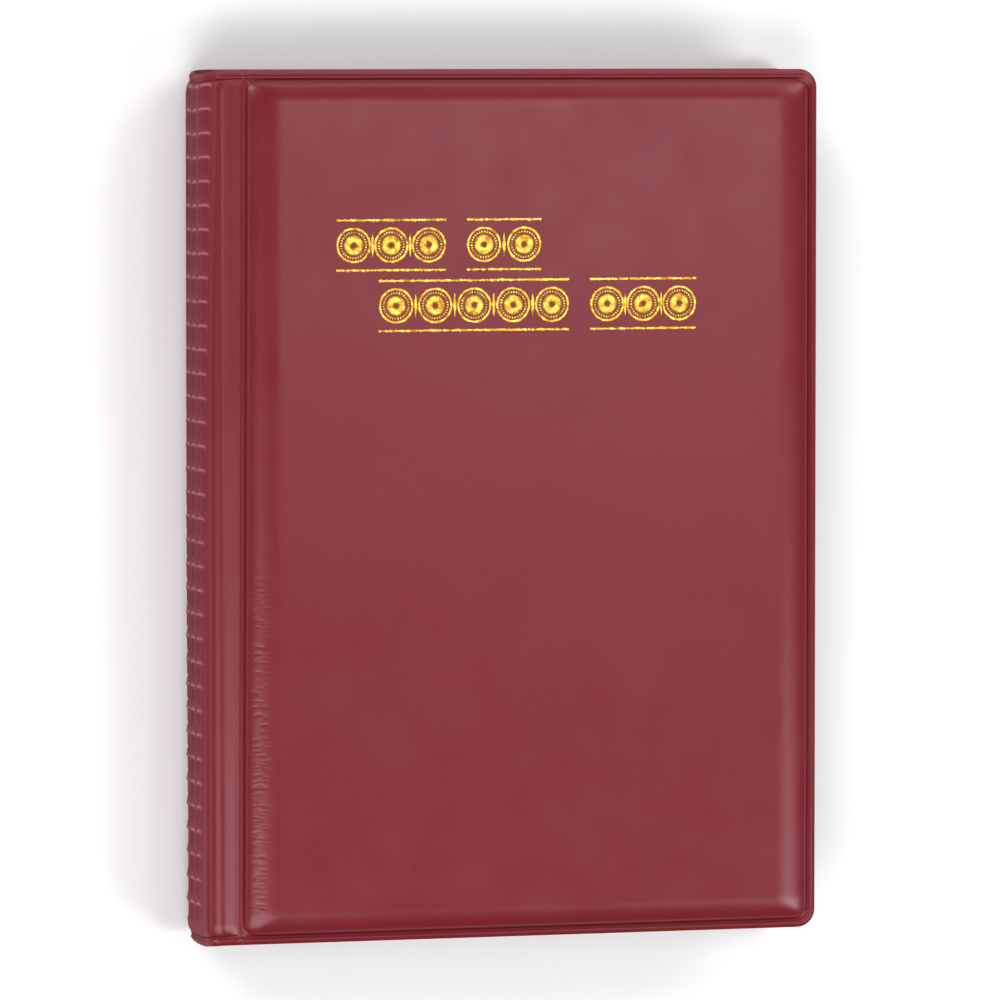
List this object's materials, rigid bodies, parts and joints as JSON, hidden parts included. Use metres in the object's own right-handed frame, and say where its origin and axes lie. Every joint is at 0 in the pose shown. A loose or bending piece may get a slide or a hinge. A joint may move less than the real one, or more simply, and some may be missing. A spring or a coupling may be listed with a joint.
{
  "type": "coin album",
  "caption": "Soft-cover album with padded covers, a rounded embossed spine and clear pocket pages that turn, for storing coins.",
  "frame": {"origin": "centre of the underside of the closed album, which lies on its back cover", "axes": "+X from the spine to the fore-edge, +Y to the top edge, +Z from the back cover to the front cover"},
  "size_m": [0.132, 0.18, 0.0226],
  "materials": {
    "cover_pvc": "calendered soft PVC film, fine satin grain, burgundy",
    "lining_pvc": "smooth burgundy PVC lining film",
    "foam": "thin white foam sheet",
    "board": "grey pressed board",
    "clear_film": "clear PVC film",
    "weld_film": "welded clear PVC film, slightly milky",
    "gold_foil": "hot-stamped gold foil, worn at its edges"
  },
  "bodies": {
    "back_panel": {"back_skin": "cover_pvc", "back_foam": "foam", "back_board": "board", "back_lining": "lining_pvc"},
    "back_strip": {"back_strip_skin": "cover_pvc", "back_strip_lining": "lining_pvc", "back_hinge_weld": "cover_pvc"},
    "spine": {"spine_skin": "cover_pvc", "spine_lining": "lining_pvc", "back_shoulder": "cover_pvc", "front_shoulder": "cover_pvc", "page_tab_01": "weld_film", "page_tab_02": "weld_film", "page_tab_03": "weld_film", "page_tab_04": "weld_film", "page_tab_05": "weld_film", "page_tab_06": "weld_film", "page_tab_07": "weld_film", "page_tab_08": "weld_film", "page_tab_09": "weld_film", "page_tab_10": "weld_film"},
    "front_strip": {"front_strip_skin": "cover_pvc", "front_strip_lining": "lining_pvc", "front_hinge_weld": "cover_pvc"},
    "front_panel": {"front_skin": "cover_pvc", "front_foam": "foam", "front_board": "board", "front_lining": "lining_pvc", "cover_foil": "gold_foil"},
    "page_01": {"page_01_film": "clear_film", "page_01_pockets": "clear_film", "page_01_seams": "weld_film"},
    "page_02": {"page_02_film": "clear_film", "page_02_pockets": "clear_film", "page_02_seams": "weld_film"},
    "page_03": {"page_03_film": "clear_film", "page_03_pockets": "clear_film", "page_03_seams": "weld_film"},
    "page_04": {"page_04_film": "clear_film", "page_04_pockets": "clear_film", "page_04_seams": "weld_film"},
    "page_05": {"page_05_film": "clear_film", "page_05_pockets": "clear_film", "page_05_seams": "weld_film"},
    "page_06": {"page_06_film": "clear_film", "page_06_pockets": "clear_film", "page_06_seams": "weld_film"},
    "page_07": {"page_07_film": "clear_film", "page_07_pockets": "clear_film", "page_07_seams": "weld_film"},
    "page_08": {"page_08_film": "clear_film", "page_08_pockets": "clear_film", "page_08_seams": "weld_film"},
    "page_09": {"page_09_film": "clear_film", "page_09_pockets": "clear_film", "page_09_seams": "weld_film"},
    "page_10": {"page_10_film": "clear_film", "page_10_pockets": "clear_film", "page_10_seams": "weld_film"}
  },
  "joints": [
    {"name": "back_groove", "type": "hinge", "parent": "back_panel", "child": "back_strip", "pos_m": [-0.0574, 0, 0.0029], "axis": [0, -1, 0], "range_deg": [0, 90], "deforming": ["back_hinge_weld"]},
    {"name": "back_shoulder_fold", "type": "hinge", "parent": "back_strip", "child": "spine", "pos_m": [-0.06514, 0, 0.00256], "axis": [0, -1, 0], "range_deg": [0, 90], "deforming": ["back_shoulder"]},
    {"name": "front_shoulder_fold", "type": "hinge", "parent": "spine", "child": "front_strip", "pos_m": [-0.06514, 0, 0.02004], "axis": [0, -1, 0], "range_deg": [0, 90], "deforming": ["front_shoulder"]},
    {"name": "front_groove", "type": "hinge", "parent": "front_strip", "child": "front_panel", "pos_m": [-0.0574, 0, 0.0197], "axis": [0, -1, 0], "range_deg": [0, 90], "deforming": ["front_hinge_weld"]},
    {"name": "page_01_fold", "type": "hinge", "parent": "spine", "child": "page_01", "pos_m": [-0.0624, 0, 0.0178], "axis": [0, -1, 0], "range_deg": [0, 90]},
    {"name": "page_02_fold", "type": "hinge", "parent": "spine", "child": "page_02", "pos_m": [-0.0612, 0, 0.01625], "axis": [0, -1, 0], "range_deg": [0, 90]},
    {"name": "page_03_fold", "type": "hinge", "parent": "spine", "child": "page_03", "pos_m": [-0.06, 0, 0.0147], "axis": [0, -1, 0], "range_deg": [0, 90]},
    {"name": "page_04_fold", "type": "hinge", "parent": "spine", "child": "page_04", "pos_m": [-0.0588, 0, 0.01315], "axis": [0, -1, 0], "range_deg": [0, 90]},
    {"name": "page_05_fold", "type": "hinge", "parent": "spine", "child": "page_05", "pos_m": [-0.0576, 0, 0.0116], "axis": [0, -1, 0], "range_deg": [0, 90]},
    {"name": "page_06_fold", "type": "hinge", "parent": "spine", "child": "page_06", "pos_m": [-0.0576, 0, 0.01005], "axis": [0, -1, 0], "range_deg": [-90, 0]},
    {"name": "page_07_fold", "type": "hinge", "parent": "spine", "child": "page_07", "pos_m": [-0.0588, 0, 0.0085], "axis": [0, -1, 0], "range_deg": [-90, 0]},
    {"name": "page_08_fold", "type": "hinge", "parent": "spine", "child": "page_08", "pos_m": [-0.06, 0, 0.00695], "axis": [0, -1, 0], "range_deg": [-90, 0]},
    {"name": "page_09_fold", "type": "hinge", "parent": "spine", "child": "page_09", "pos_m": [-0.0612, 0, 0.0054], "axis": [0, -1, 0], "range_deg": [-90, 0]},
    {"name": "page_10_fold", "type": "hinge", "parent": "spine", "child": "page_10", "pos_m": [-0.0624, 0, 0.00385], "axis": [0, -1, 0], "range_deg": [-90, 0]}
  ],
  "couplings": [
    {"joint": "page_01_fold", "follows": "front_shoulder_fold", "ratio": 1},
    {"joint": "page_02_fold", "follows": "front_shoulder_fold", "ratio": 0.97},
    {"joint": "page_03_fold", "follows": "front_shoulder_fold", "ratio": 0.94},
    {"joint": "page_04_fold", "follows": "front_shoulder_fold", "ratio": 0.91},
    {"joint": "page_05_fold", "follows": "front_shoulder_fold", "ratio": 0.88},
    {"joint": "page_06_fold", "follows": "back_shoulder_fold", "ratio": -0.88},
    {"joint": "page_07_fold", "follows": "back_shoulder_fold", "ratio": -0.91},
    {"joint": "page_08_fold", "follows": "back_shoulder_fold", "ratio": -0.94},
    {"joint": "page_09_fold", "follows": "back_shoulder_fold", "ratio": -0.97},
    {"joint": "page_10_fold", "follows": "back_shoulder_fold", "ratio": -1}
  ]
}
